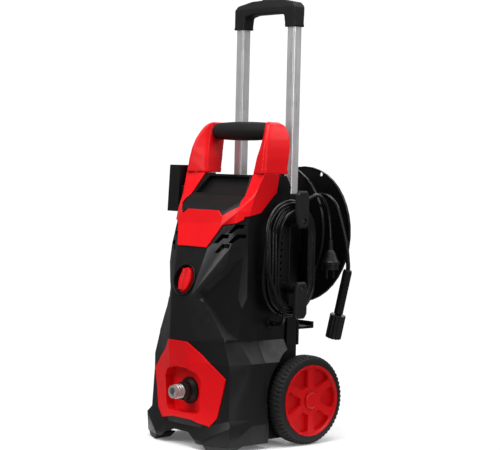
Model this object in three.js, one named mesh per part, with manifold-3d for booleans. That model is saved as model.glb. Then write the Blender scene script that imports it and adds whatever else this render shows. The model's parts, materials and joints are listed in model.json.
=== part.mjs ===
// An upright electric pressure washer: millimetres, +Z up, front facing -Y.
// The wheel axle runs along X above the origin's plane; the left side of the machine is -X.
import * as THREE from "three";
import { mergeVertices } from "three/addons/utils/BufferGeometryUtils.js";
import Module from "manifold-3d";

const wasm = await Module();
wasm.setup();

// ---- driving dimensions -------------------------------------------------------------------
const GAP = 0.3; // clearance between pieces that touch or nearly touch
const WALL = 3; // plastic wall of the housing
const CLADDING = 3; // how far the red pieces stand proud of the black housing

const WHEEL_R = 90;
const HUB_R = 72;
const HUB_FACE_X = 152.5;
const TYRE_WIDTH = 42;
const AXLE_R = 5;
const AXLE_Z = WHEEL_R;

const SEAM_Y = -105; // where the front and rear shells meet, up to the middle of the housing
const SEAM_TOP_Y = -88; // where they meet between the handle legs
const REAR_Y = -18; // back face of the rear shell
const TOP_Z = 541; // top of the housing and parting line of the carry handle
const BOTTOM_Z = 11;
const PLATE_Z = 31; // underside of the base plate, above the arches between the feet
const CENTRE_X = -5; // middle of the object's box without its cords, moved to the origin
const CENTRE_Y = -41.5;

const TUBE_X = 78;
const TUBE_Y = -2;
const TUBE_SIZE = 22;
const TUBE_BOTTOM = 430;
const TUBE_TOP = 868;
const SOCKET_BOTTOM = 843;
const GRIP_TOP = 902;
const SLEEVE_BOTTOM = 120;
const SLEEVE_TOP = 505;
const SLEEVE_WALL = 3;

const HANDLE_Y = -63; // carry handle grip centre
const HANDLE_Z = 630;
const HANDLE_BAR_R = 12;

const KNOB_Z = 328;
const KNOB_Y = -203; // floor of the knob's recess
const KNOB_TILT = 16; // degrees the control face leans back
const KNOB_R = 27;
const KNOB_OVAL = 0.68; // its width over its height

const OUTLET_Z = 108;
const OUTLET_FLOOR_Y = -192;
const OUTLET_FACE_Y = -238;

const REEL_Y = 108.4; // rear flange
const REEL_Z = 417;
const REEL_R = 143.8;
const REEL_WIDTH = 79;
const REEL_TILT = 3.1; // degrees the axle dips towards the back
const DRUM_R = 55;
const HOSE_D = 9;
const HOSE_COIL_R = 82;

const HOOK_Y = -36;
const HOOK_UPPER_Z = 452;
const HOOK_LOWER_Z = 317;
const HOOK_PLATE_X = 148;
const HOOK_PLATE_THICKNESS = 8;
const MAINS_D = 7.5;
const COIL_Y = -54;
const COIL_Z = 377;
const GLAND_Y = -76; // where the mains lead leaves the right side
const GLAND_Z = 246;
const INLET_Z = 150; // water inlet at the back

const SHAFT_Y = -108; // vertical motor shaft
const MOTOR_BOTTOM = 232;
const MOTOR_TOP = 400;
const MOTOR_R = 57;

// ---- materials ----------------------------------------------------------------------------
const COLOURS = {
  black_plastic: [0x1b1b1d, 0.45, 0],
  black_grip: [0x121213, 0.7, 0],
  red_plastic: [0xd3121c, 0.35, 0],
  tyre_rubber: [0x161616, 0.85, 0],
  aluminium: [0xb9bcc0, 0.32, 1],
  steel: [0x9a9b9d, 0.38, 1],
  hose_black: [0x0f0f10, 0.5, 0],
  motor_grey: [0x6d7074, 0.5, 1],
  nylon: [0xd8d4c8, 0.5, 0],
};

const washer = new THREE.Group();
washer.name = "pressure_washer";

function add(name, geometry, colour) {
  const [hex, roughness, metalness] = COLOURS[colour];
  const material = new THREE.MeshStandardMaterial({ color: hex, roughness, metalness });
  const mesh = new THREE.Mesh(geometry, material);
  mesh.name = name;
  washer.add(mesh);
  return mesh;
}

// ---- solid helpers ------------------------------------------------------------------------
function solid(geometry) {
  const bare = geometry.clone();
  bare.deleteAttribute("normal");
  bare.deleteAttribute("uv");
  const merged = mergeVertices(bare, 1e-4);
  const mesh = new wasm.Mesh({
    numProp: 3,
    vertProperties: new Float32Array(merged.attributes.position.array),
    triVerts: new Uint32Array(merged.index.array),
  });
  return new wasm.Manifold(mesh);
}

function geometryOf(manifold) {
  const mesh = manifold.getMesh();
  const geometry = new THREE.BufferGeometry();
  geometry.setAttribute("position", new THREE.BufferAttribute(mesh.vertProperties, 3));
  geometry.setIndex(new THREE.BufferAttribute(mesh.triVerts, 1));
  geometry.computeVertexNormals();
  return geometry;
}

function box(x0, x1, y0, y1, z0, z1) {
  const geometry = new THREE.BoxGeometry(x1 - x0, y1 - y0, z1 - z0);
  geometry.translate((x0 + x1) / 2, (y0 + y1) / 2, (z0 + z1) / 2);
  return solid(geometry);
}

// A cylinder or cone from `start` along the axis "x", "y" or "z"; r1 is the far end's radius.
function cylinder(axis, start, length, r0, r1 = r0, sides = 20) {
  const geometry = new THREE.CylinderGeometry(r1, r0, length, sides);
  geometry.translate(0, length / 2, 0);
  if (axis === "x") geometry.rotateZ(-Math.PI / 2);
  if (axis === "z") geometry.rotateX(Math.PI / 2);
  geometry.translate(...start);
  return solid(geometry);
}

// A solid turned about +Z from [radius, z] pairs that start and end on the axis or close up.
function turned(profile, sides = 26) {
  const points = profile.map(([r, z]) => new THREE.Vector2(r, z));
  const geometry = new THREE.LatheGeometry(points, sides);
  geometry.rotateX(Math.PI / 2);
  return solid(geometry);
}

function shapeOf(points) {
  return new THREE.Shape(points.map(([x, y]) => new THREE.Vector2(x, y)));
}

// An outline in (x, z) run through the machine from y0 to y1.
function frontPrism(points, y0, y1) {
  const geometry = new THREE.ExtrudeGeometry(shapeOf(points), {
    depth: y1 - y0,
    bevelEnabled: false,
    curveSegments: 8,
  });
  geometry.rotateX(Math.PI / 2);
  geometry.translate(0, y1, 0);
  return solid(geometry);
}

// An outline in (y, z) run through the machine from x0 to x1.
function sidePrism(points, x0, x1) {
  const geometry = new THREE.ExtrudeGeometry(shapeOf(points), {
    depth: x1 - x0,
    bevelEnabled: false,
    curveSegments: 8,
  });
  geometry.rotateX(Math.PI / 2);
  geometry.rotateZ(Math.PI / 2);
  geometry.translate(x0, 0, 0);
  return solid(geometry);
}

// A closed skin through rings of equal length, each a list of [x, y, z] going round clockwise
// or anticlockwise; the caps are fans from each ring's centre. Each face between two rings is
// split the same way on the left side (-x) as on the right.
function skin(rings) {
  const count = rings[0].length;
  const positions = rings.flat(2);
  const index = [];
  for (let level = 0; level < rings.length - 1; level += 1) {
    for (let i = 0; i < count; i += 1) {
      const next = (i + 1) % count;
      const a = level * count + i;
      const b = level * count + next;
      const onTheLeft = rings[level][i][0] + rings[level][next][0] < 0;
      if (onTheLeft) index.push(a, b, a + count, b, b + count, a + count);
      else index.push(a, b, b + count, a, b + count, a + count);
    }
  }
  const ends = [rings[0], rings[rings.length - 1]];
  ends.forEach((ring, end) => {
    const centre = positions.length / 3;
    for (let axis = 0; axis < 3; axis += 1) {
      positions.push(ring.reduce((sum, point) => sum + point[axis], 0) / count);
    }
    const base = end === 0 ? 0 : (rings.length - 1) * count;
    for (let i = 0; i < count; i += 1) {
      const a = base + i;
      const b = base + ((i + 1) % count);
      index.push(...(end === 0 ? [centre, b, a] : [centre, a, b]));
    }
  });
  const geometry = new THREE.BufferGeometry();
  geometry.setAttribute("position", new THREE.Float32BufferAttribute(positions, 3));
  geometry.setIndex(index);
  return solid(geometry);
}

function mirrored(manifold) {
  return manifold.mirror([1, 0, 0]);
}

function bothSides(manifold) {
  return manifold.add(mirrored(manifold));
}

// ---- housing outline by height ------------------------------------------------------------
// Each level: height, then half-width and depth of the front strip's corner, of the flank's
// corner and of the side's front corner.
const LEVELS = [
  [BOTTOM_Z, [72, -221], [127, -197], [131, -143]],
  [20, [72, -221], [130, -198, 29], [132, -143, 29]],
  [40, [50, -205], [121, -193, 21], [128, -141, 21]],
  [142, [31, -216], [118, -190], [127, -141]],
  [170, [29, -220], [117, -191], [126, -141]],
  [212, [28, -225], [102, -192], [101, -151]],
  [300, [30, -221], [84, -192], [108, -141]],
  [397, [46, -193], [91, -173], [111, -145]],
  [442, [66, -174], [92, -160], [110, -145]],
  [470, [62, -166], [91, -154], [109, -140]],
  [500, [86, -128], [98, -129], [109, -129]],
  [TOP_Z, [71, -99], [96, -105], [118, -112]],
];

// The same outline without the flared skirt at the bottom, for the outlet panel.
const PANEL_LEVELS = [
  [BOTTOM_Z, [50, -205], [122, -194], [128, -141]],
  ...LEVELS.filter(([z]) => z > 100),
];

function sideHalfWidth(z) {
  const above = LEVELS.findIndex(([height]) => height >= z);
  const [z1, , , [x1]] = LEVELS[above];
  const [z0, , , [x0]] = LEVELS[Math.max(above - 1, 0)];
  return z1 === z0 ? x1 : x0 + ((x1 - x0) * (z - z0)) / (z1 - z0);
}

function seamY(z) {
  const rise = THREE.MathUtils.clamp((z - 300) / (470 - 300), 0, 1);
  return THREE.MathUtils.lerp(SEAM_Y, SEAM_TOP_Y, rise);
}

// The front of the housing as one solid, its skin moved in by `inset` (out when negative) and
// its back face `behind` the seam, cut at the given bottom and top.
function frontBody(inset, behind, bottom, top, levels = LEVELS) {
  const rings = levels.map(([z, front, flank, side], level) => {
    const height = level === 0 ? bottom : level === levels.length - 1 ? top : z;
    const sideHeight = height + (side[2] ?? 0);
    const half = [
      [side[0] - inset, seamY(z) + behind, sideHeight],
      [side[0] - inset, side[1] + inset * 0.4, sideHeight],
      [flank[0] - inset * 0.75, flank[1] + inset * 0.75, height + (flank[2] ?? 0)],
      [front[0] - inset * 0.3, front[1] + inset, height],
    ];
    const other = half.map(([x, y, pointZ]) => [-x, y, pointZ]).reverse();
    return [...half, ...other].reverse();
  });
  return skin(rings);
}

// The upright sunk face on each flank, as the wedge of material that is missing in front of
// it, between the fold under the controls and the crease above the lower body; `lift` moves
// the sunk face outwards.
function flankRecess(lift) {
  const start = new THREE.Vector3(42, -205, 0);
  const along = new THREE.Vector3(68, 55, 0).normalize();
  const out = new THREE.Vector3(along.y, -along.x, 0);
  const spread = 60; // how far out the cutting wedge reaches
  // Each point is its place along the face, its height and how far the chamfer drops.
  const crease = [
    [6, 299, 30],
    [33, 268, 22],
    [58, 233, 18],
    [74, 219, 18],
    [93, 214, 18],
    [125, 214, 18],
  ];
  const fold = [
    [125, 424],
    [92, 388],
    [55, 349],
    [16, 311],
    [6, 302],
  ];
  const place = (u, z, reach) => {
    const point = start.clone().addScaledVector(along, u).addScaledVector(out, reach);
    return [point.x, point.y, z];
  };
  const floor = [...crease, ...fold].map(([u, z]) => place(u, z, lift));
  const roof = [
    ...crease.map(([u, z, drop]) => place(u < 10 ? -42 : u - 20, z - drop, spread)),
    ...fold.map(([u, z]) => place(u < 10 ? -42 : u - 20, z + 70, spread)),
  ];
  const wedge = skin([floor, roof]);
  return wedge.volume() > 0 ? wedge : skin([[...floor].reverse(), [...roof].reverse()]);
}

function ventSlots() {
  const height = 8; // of the level stretch
  const foot = 8; // width of the sloping stretch
  const slots = [
    [79, 426, 92, 444, 104],
    [56, 406, 69, 424, 82],
    [84, 407, 97, 425, 108],
    [61, 387, 74, 405, 88],
  ];
  const cutters = slots.map(([x0, z0, x1, z1, x2]) =>
    frontPrism(
      [
        [x0, z0],
        [x0 + foot, z0],
        [x1 + foot / 2, z1 - height],
        [x2, z1 - height],
        [x2 + 1, z1],
        [x1 - 1, z1],
      ],
      -230,
      -120,
    ),
  );
  return bothSides(cutters.reduce((sum, cutter) => sum.add(cutter)));
}

// ---- lower outlet panel: outline and basin --------------------------------------------------
const PANEL_OUTLINE = [
  [28, 210],
  [110, 142],
  [92, 64],
  [74, 45],
  [28, 54],
  [-28, 54],
  [-74, 45],
  [-92, 64],
  [-110, 142],
  [-28, 210],
];

function grown(points, amount) {
  const middleZ = points.reduce((sum, point) => sum + point[1], 0) / points.length;
  return points.map(([x, z]) => [x + Math.sign(x) * amount, z + Math.sign(z - middleZ) * amount]);
}

const BASIN_OUTLINE = [
  [56, 134],
  [46, 148],
  [20, 157],
  [-20, 157],
  [-46, 148],
  [-56, 134],
  [-52, 74],
  [-44, 66],
  [44, 66],
  [52, 74],
];

function outletPanel() {
  const skinPiece = frontBody(-CLADDING, 0, BOTTOM_Z, TOP_Z, PANEL_LEVELS)
    .subtract(frontBody(-GAP, 1, BOTTOM_Z - 5, TOP_Z + 5))
    .subtract(frontBody(-GAP, 1, BOTTOM_Z - 5, TOP_Z + 5, PANEL_LEVELS))
    .intersect(frontPrism(PANEL_OUTLINE, -300, -150));
  const basinWall = frontPrism(grown(BASIN_OUTLINE, WALL), OUTLET_FLOOR_Y, -150)
    .intersect(box(-90, 90, OUTLET_FLOOR_Y, OUTLET_FLOOR_Y + WALL, 0, 250))
    .add(
      frontPrism(grown(BASIN_OUTLINE, WALL), -300, OUTLET_FLOOR_Y + 0.5).intersect(
        frontBody(-CLADDING, 0, BOTTOM_Z, TOP_Z, PANEL_LEVELS),
      ),
    );
  return skinPiece
    .add(basinWall)
    .subtract(frontPrism(BASIN_OUTLINE, -300, OUTLET_FLOOR_Y))
    .subtract(cylinder("y", [0, OUTLET_FLOOR_Y - 10, OUTLET_Z], 30, 14));
}

// ---- red yoke: centre plate and wings --------------------------------------------------------
function yokeMask() {
  const half = [
    [0, 470],
    [47, 470],
    [61, 459],
    [90, 479],
    [84, 500],
    [71, TOP_Z + 20],
    [160, TOP_Z + 20],
    [160, 460],
    [112, 460],
    [95, 447],
    [69, 442],
    [45, 397],
    [0, 397],
  ];
  const mirror = half
    .slice(1, -1)
    .map(([x, z]) => [-x, z])
    .reverse();
  const outline = [...half, ...mirror];
  const side = [
    [-73, TOP_Z + 20],
    [-73, 507],
    [-113, 467],
    [-150, 459],
    [-158, 380],
    [-300, 380],
    [-300, TOP_Z + 20],
  ];
  return frontPrism(outline, -300, 0).intersect(sidePrism(side, -200, 200));
}

// The housing behind the seam as one solid; its front face is `behind` the seam.
function rearBody(inset, behind, bottom, top) {
  const rings = LEVELS.map(([z, , , side], level) => {
    const plain = level === 0 ? bottom : level === LEVELS.length - 1 ? top : z;
    const height = plain + (side[2] ?? 0);
    const x = side[0] - inset;
    const half = [
      [x - 16, REAR_Y - inset],
      [x, REAR_Y - 16 - inset * 0.4],
      [x, seamY(z) + behind],
    ];
    const other = half.map(([px, py]) => [-px, py]).reverse();
    return [...half, ...other].map(([px, py]) => [px, py, height]).reverse();
  });
  return skin(rings);
}

// Everything above the sloping shoulder at the back of the housing.
function shoulderCut(drop) {
  return sidePrism(
    [
      [-51, TOP_Z + 0.5 - drop],
      [-18, 497 - drop],
      [40, 440 - drop],
      [40, TOP_Z + 60],
      [-51, TOP_Z + 60],
    ],
    -200,
    200,
  );
}

function wheelNiche(extra) {
  const inner = 101 - extra;
  const arch = cylinder("x", [inner, 2, 97], 80, 101 + extra, 101 + extra, 36);
  const below = box(inner, 181, -97 - extra, 60, -20, 97);
  return bothSides(arch.add(below));
}

// ---- housing ---------------------------------------------------------------------------------
function housing() {
  const outer = frontBody(0, -GAP / 2, BOTTOM_Z, TOP_Z).subtract(bothSides(flankRecess(0)));
  const inner = frontBody(WALL, 1, BOTTOM_Z - 5, TOP_Z - WALL).subtract(
    bothSides(flankRecess(-WALL)),
  );
  const panelHole = frontPrism(grown(BASIN_OUTLINE, WALL + GAP), -300, SEAM_Y);
  const knobHole = knobFrame(cylinder("z", [0, 0, -30], 60, 33 + GAP, 33 + GAP, 30));
  const archFront = frontPrism(
    [
      [-80, -5],
      [-44, 21],
      [-22, 29],
      [22, 29],
      [44, 21],
      [80, -5],
    ],
    -260,
    -150,
  );
  const sideArch = sidePrism([[-176, -5], [-164, 24], [-118, 24], [-100, -5]], -180, -60);
  const front = outer
    .subtract(inner)
    .subtract(ventSlots())
    .subtract(panelHole)
    .subtract(knobHole)
    .subtract(trayBlock(GAP))
    .subtract(archFront)
    .subtract(sideArch);
  add("front_shell", geometryOf(front), "black_plastic");

  const rearOuter = rearBody(0, GAP / 2, BOTTOM_Z, TOP_Z).subtract(shoulderCut(0));
  const rearInner = rearBody(WALL, -1, BOTTOM_Z - 5, TOP_Z - WALL)
    .subtract(shoulderCut(WALL))
    .intersect(box(-98, 98, -300, 300, 0, 200).add(box(-200, 200, -300, 300, 199.9, 600)));
  let rear = rearOuter
    .subtract(wheelNiche(0))
    .subtract(rearInner.subtract(wheelNiche(WALL)))
    .subtract(sideArch);
  for (const z of [HOOK_UPPER_Z, HOOK_LOWER_Z]) {
    const wall = sideHalfWidth(z) - WALL + 0.5;
    const boss = cylinder("x", [wall, HOOK_Y, z], 126 - wall, 12);
    rear = rear.add(boss).subtract(cylinder("x", [wall - 5, HOOK_Y, z], 60, 2.6, 2.6, 16));
  }
  const louvres = Array.from({ length: 7 }, (_, row) => {
    const z = 338 + row * 13;
    return box(90, 140, -84, -52, z, z + 5);
  });
  rear = rear.subtract(bothSides(louvres.reduce((sum, slot) => sum.add(slot))));
  rear = rear.subtract(cylinder("y", [0, REAR_Y - 10, INLET_Z], 30, 12 + GAP));
  rear = rear.subtract(cylinder("x", [90, GLAND_Y, GLAND_Z], 60, 8 + GAP, 8 + GAP, 24));
  rear = rear.subtract(cylinder("x", [-150, 0, AXLE_Z], 300, 8));
  add("rear_shell", geometryOf(rear), "black_plastic");

  const plate = skin([basePlateRing(PLATE_Z), basePlateRing(PLATE_Z + WALL)]);
  add("base_plate", geometryOf(plate), "black_plastic");

  for (const [name, sign] of [["left", -1], ["right", 1]]) {
    const footRing = (points, z) => points.map(([x, y]) => [x, y, z]);
    const foot = skin([
      footRing([[80, -216], [117, -199], [117, -172], [84, -172]], 0),
      footRing([[74, -219], [126, -196], [129, -160], [80, -160]], BOTTOM_Z - GAP),
    ]);
    add(`foot_${name}`, geometryOf(sign < 0 ? mirrored(foot) : foot), "tyre_rubber");
  }
}

function basePlateRing(z) {
  const half = [
    [93, -24],
    [93, -108],
    [120, -109],
    [121, -140],
    [110, -183],
    [70, -186],
  ];
  const other = half.map(([x, y]) => [-x, y]).reverse();
  return [...half, ...other].map(([x, y]) => [x, y, z]).reverse();
}

// Block of the sloping tray between the handle legs, from its floor up through the housing's
// top; `extra` grows it all round.
function trayBlock(extra) {
  const depth = 12;
  const low = new THREE.Vector3(0, -126, 500);
  const high = new THREE.Vector3(0, -98.5, 539);
  const along = new THREE.Vector3().subVectors(high, low).normalize();
  const out = new THREE.Vector3(0, -along.z, along.y);
  const at = (x, t, lift) => {
    const point = low.clone().addScaledVector(along, t).addScaledVector(out, lift);
    return [x, point.y, point.z];
  };
  const length = low.distanceTo(high);
  const ring = (lift) => [
    at(-79 - extra, -extra, lift),
    at(79 + extra, -extra, lift),
    at(65 + extra, length + extra, lift),
    at(-65 - extra, length + extra, lift),
  ];
  return skin([ring(-depth - extra), ring(30)]);
}

// ---- carry handle ------------------------------------------------------------------------------
function legRing(z, innerX, outerX, frontY, outerFrontY, backY, outerBackY) {
  return [
    [innerX, frontY, z],
    [innerX + 4, frontY - 4, z],
    [outerX - 5, outerFrontY - 3, z],
    [outerX, outerFrontY + 4, z],
    [outerX, outerBackY, z],
    [innerX, backY, z],
  ];
}

function carryHandle() {
  const base = TOP_Z + CLADDING;
  const leg = skin([
    legRing(base + GAP, 71, 121, -99, -115, -62, -51),
    legRing(575, 75, 119, -95, -111, -54, -45),
    legRing(596, 79, 116, -90, -107, -49, -40),
    legRing(614, 82, 112, -86, -101, -44, -37),
    legRing(630, 83, 106, -83, -93, -42, -37),
    legRing(642, 82, 99, -80, -86, -44, -39),
    legRing(649, 80, 88, -76, -78, -48, -46),
  ]);
  const bar = cylinder("x", [-88, HANDLE_Y, HANDLE_Z], 176, HANDLE_BAR_R);
  add("carry_handle_frame", geometryOf(bothSides(leg).add(bar)), "red_plastic");

  const grip = turned([
    [HANDLE_BAR_R + GAP, -83],
    [16, -83],
    [17.5, -70],
    [19, -35],
    [19.5, 0],
    [19, 35],
    [17.5, 70],
    [16, 83],
    [HANDLE_BAR_R + GAP, 83],
    [HANDLE_BAR_R + GAP, -83],
  ])
    .rotate([0, 90, 0])
    .translate([0, HANDLE_Y, HANDLE_Z])
    .subtract(bothSides(leg))
    .subtract(box(-200, -83.5, -200, 0, 500, 700))
    .subtract(box(83.5, 200, -200, 0, 500, 700));
  add("carry_handle_grip", geometryOf(grip), "black_grip");
}

// ---- front controls --------------------------------------------------------------------------
function knobFrame(manifold) {
  return manifold.rotate([90 - KNOB_TILT, 0, 0]).translate([0, KNOB_Y, KNOB_Z]);
}

function controls() {
  const bezel = turned([
    [9, -3],
    [33, -3],
    [33, 13],
    [30, 13],
    [28.5, 0],
    [9, 0],
    [9, -3],
  ], 30);
  add("knob_bezel", geometryOf(knobFrame(bezel)), "black_plastic");

  const disc = turned([
    [0, GAP],
    [KNOB_R, GAP],
    [KNOB_R, 6],
    [KNOB_R - 3, 11],
    [0, 13],
  ]).scale([KNOB_OVAL, 1, 1]);
  const ridge = skin([
    [[-6, -23, 6], [6, -23, 6], [6, 23, 6], [-6, 23, 6]],
    [[-2.5, -21, 19], [2.5, -21, 19], [2.5, 21, 19], [-2.5, 21, 19]],
  ]);
  const stem = cylinder("z", [0, 0, -16], 18, 6, 6, 24);
  add("knob", geometryOf(knobFrame(disc.add(ridge).add(stem))), "red_plastic");

  const switchBody = knobFrame(box(-20, 20, -20, 20, -26, -16 - GAP));
  add("switch_body", geometryOf(switchBody), "black_plastic");
}

function outlet() {
  add("outlet_panel", geometryOf(outletPanel()), "red_plastic");

  // The collar's flange sits on the basin floor and its neck passes through the panel.
  const collar = turned([
    [11 + GAP, -14],
    [13, -14],
    [13, GAP],
    [27, GAP],
    [27, 4],
    [20, 11],
    [19, 21],
    [11 + GAP, 21],
    [11 + GAP, -14],
  ]);
  const outletPlace = (piece) => piece.rotate([90, 0, 0]).translate([0, OUTLET_FLOOR_Y, OUTLET_Z]);
  add("outlet_collar", geometryOf(outletPlace(collar)), "black_grip");

  const length = OUTLET_FLOOR_Y - OUTLET_FACE_Y;
  const profile = [
    [5, -34],
    [11, -34],
    [11, 22],
    [12.5, 22],
    [14, 24],
  ];
  const threads = 3;
  const pitch = 5.5;
  for (let i = 0; i < threads; i += 1) {
    const z = 24 + i * pitch;
    profile.push([14.5, z + 0.8], [14.5, z + 2.8], [13, z + 3.6]);
  }
  profile.push([13, length], [8.5, length], [7.5, length - 9], [5, length - 11], [5, -34]);
  add("outlet_connector", geometryOf(outletPlace(turned(profile, 20))), "steel");
}

// ---- telescopic handle -------------------------------------------------------------------------
function roundedSquare(size, radius) {
  const half = size / 2;
  const shape = new THREE.Shape();
  shape.moveTo(-half + radius, -half);
  shape.lineTo(half - radius, -half);
  shape.absarc(half - radius, -half + radius, radius, -Math.PI / 2, 0);
  shape.absarc(half - radius, half - radius, radius, 0, Math.PI / 2);
  shape.absarc(-half + radius, half - radius, radius, Math.PI / 2, Math.PI);
  shape.absarc(-half + radius, -half + radius, radius, Math.PI, Math.PI * 1.5);
  return shape;
}

function squareBar(size, radius, x, z0, z1) {
  const geometry = new THREE.ExtrudeGeometry(roundedSquare(size, radius), {
    depth: z1 - z0,
    bevelEnabled: false,
    curveSegments: 4,
  });
  geometry.translate(x, TUBE_Y, z0);
  return solid(geometry);
}

function telescopicHandle() {
  const wall = 1.5;
  for (const [name, x] of [["left", -TUBE_X], ["right", TUBE_X]]) {
    const tube = squareBar(TUBE_SIZE, 4, x, TUBE_BOTTOM, TUBE_TOP).subtract(
      squareBar(TUBE_SIZE - 2 * wall, 2.5, x, TUBE_BOTTOM - 1, TUBE_TOP + 1),
    );
    add(`tube_${name}`, geometryOf(tube), "aluminium");

    const outerSize = TUBE_SIZE + 2 * (SLEEVE_WALL + GAP);
    const sleeve = squareBar(outerSize, 4, x, SLEEVE_BOTTOM, SLEEVE_TOP).subtract(
      squareBar(TUBE_SIZE + 2 * GAP, 4, x, SLEEVE_BOTTOM - 1, SLEEVE_TOP + 1),
    );
    add(`guide_sleeve_${name}`, geometryOf(sleeve), "black_plastic");
  }

  const socketOuter = TUBE_X + 14;
  const socketInner = TUBE_X - 15;
  const arch = frontPrism(
    [
      [-socketOuter, SOCKET_BOTTOM],
      [-socketInner, SOCKET_BOTTOM],
      [-socketInner + 4, 868],
      [-40, 872],
      [40, 872],
      [socketInner - 4, 868],
      [socketInner, SOCKET_BOTTOM],
      [socketOuter, SOCKET_BOTTOM],
      [socketOuter + 1, 884],
      [socketOuter - 6, 893],
      [45, GRIP_TOP - 1],
      [0, GRIP_TOP],
      [-45, GRIP_TOP - 1],
      [-socketOuter + 6, 893],
      [-socketOuter - 1, 884],
    ],
    TUBE_Y - 14,
    TUBE_Y + 14,
  );
  const crown = sidePrism(
    [
      [TUBE_Y - 15, SOCKET_BOTTOM - 1],
      [TUBE_Y + 15, SOCKET_BOTTOM - 1],
      [TUBE_Y + 15, 882],
      [TUBE_Y + 8, GRIP_TOP + 2],
      [TUBE_Y - 8, GRIP_TOP + 2],
      [TUBE_Y - 15, 882],
    ],
    -120,
    120,
  );
  let grip = arch.intersect(crown);
  for (const x of [-TUBE_X, TUBE_X]) {
    grip = grip.subtract(squareBar(TUBE_SIZE + 2 * GAP, 4, x, 800, TUBE_TOP + GAP));
  }
  grip = grip.subtract(box(-16 - GAP, 16 + GAP, TUBE_Y - 6 - GAP, TUBE_Y + 6 + GAP, 885, 920));
  add("telescopic_grip", geometryOf(grip), "black_grip");

  const button = skin([
    buttonRing(16, 6, 888.5),
    buttonRing(16, 6, GRIP_TOP + 1),
    buttonRing(14, 4.5, GRIP_TOP + 3),
  ]);
  add("release_button", geometryOf(button), "motor_grey");
}

function buttonRing(halfX, halfY, z) {
  return [
    [-halfX, TUBE_Y - halfY, z],
    [halfX, TUBE_Y - halfY, z],
    [halfX, TUBE_Y + halfY, z],
    [-halfX, TUBE_Y + halfY, z],
  ];
}

// ---- running gear ---------------------------------------------------------------------------------
// One level of a hub pocket, a wedge widening from near the middle towards the rim.
function pocketRing(near, shoulder, far, nearHalf, farHalf, z) {
  const upper = [
    [near, nearHalf],
    [shoulder, farHalf],
    [shoulder + 5, farHalf - 4],
    [far, 8],
  ];
  const lower = upper.map(([x, y]) => [x, -y]);
  return [...lower, ...upper.reverse()].map(([x, y]) => [x, y, z]);
}

function wheel(name, sign) {
  const inner = HUB_FACE_X - TYRE_WIDTH;
  const rim = turned([
    [AXLE_R + GAP, inner + 6],
    [16, inner + 6],
    [16, HUB_FACE_X - 16],
    [HUB_R - 6, HUB_FACE_X - 16],
    [HUB_R - 6, inner + 2],
    [HUB_R, inner + 2],
    [HUB_R, HUB_FACE_X],
    [HUB_R - 3, HUB_FACE_X],
    [HUB_R - 5, HUB_FACE_X - 3],
    [AXLE_R + GAP, HUB_FACE_X - 3],
    [AXLE_R + GAP, inner + 6],
  ], 28);
  let hub = rim;
  const pocketCount = 6;
  for (let i = 0; i < pocketCount; i += 1) {
    const pocket = skin([
      pocketRing(30, 57, 65, 6, 22, HUB_FACE_X - 12),
      pocketRing(27, 57, 66.5, 8, 25, HUB_FACE_X + 1),
    ]);
    hub = hub.subtract(pocket.rotate([0, 0, 32 + (i * 360) / pocketCount]));
  }
  const place = (piece) => piece.rotate([0, 90 * sign, 0]).translate([0, 0, AXLE_Z]);
  add(`hub_${name}`, geometryOf(place(hub)), "red_plastic");

  const edge = HUB_FACE_X - 2;
  const tyre = turned([
    [HUB_R + GAP, inner],
    [WHEEL_R - 6, inner],
    [WHEEL_R - 1, inner + 5],
    [WHEEL_R, inner + 10],
    [WHEEL_R, edge - 10],
    [WHEEL_R - 1, edge - 5],
    [WHEEL_R - 6, edge],
    [HUB_R + GAP, edge],
    [HUB_R + GAP, inner],
  ], 36);
  let treaded = tyre;
  const grooves = 14;
  for (let i = 0; i < grooves; i += 1) {
    const groove = box(WHEEL_R - 3, WHEEL_R + 5, -2, 2, inner - 1, inner + 14).rotate([
      0,
      0,
      (i * 360) / grooves,
    ]);
    treaded = treaded.subtract(groove);
  }
  add(`tyre_${name}`, geometryOf(place(treaded)), "tyre_rubber");

  const cap = turned([
    [0, HUB_FACE_X - 2],
    [15, HUB_FACE_X - 2],
    [17, HUB_FACE_X],
    [14, HUB_FACE_X + 1.5],
    [0, HUB_FACE_X + 1.5],
  ]);
  add(`hub_cap_${name}`, geometryOf(place(cap)), "red_plastic");
}

function runningGear() {
  const reach = HUB_FACE_X - 3;
  const axle = cylinder("x", [-reach, 0, AXLE_Z], 2 * reach, AXLE_R, AXLE_R, 24);
  add("axle", geometryOf(axle), "steel");
  wheel("left", -1);
  wheel("right", 1);
}

// ---- back of the machine ------------------------------------------------------------------------
// Pieces of the reel are made along +Z about the origin with the rear flange's back face at
// zero, then laid over so that +Z points to the back of the machine.
function reelPlace(manifold) {
  return manifold.rotate([-90 - REEL_TILT, 0, 0]).translate([0, REEL_Y, REEL_Z]);
}

function flange(z0) {
  return turned([
    [8 + GAP, z0],
    [REEL_R - 6, z0],
    [REEL_R, z0 - 1.5],
    [REEL_R, z0 + 4.5],
    [REEL_R - 5, z0 + 3],
    [8 + GAP, z0 + 3],
    [8 + GAP, z0],
  ], 40);
}

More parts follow.
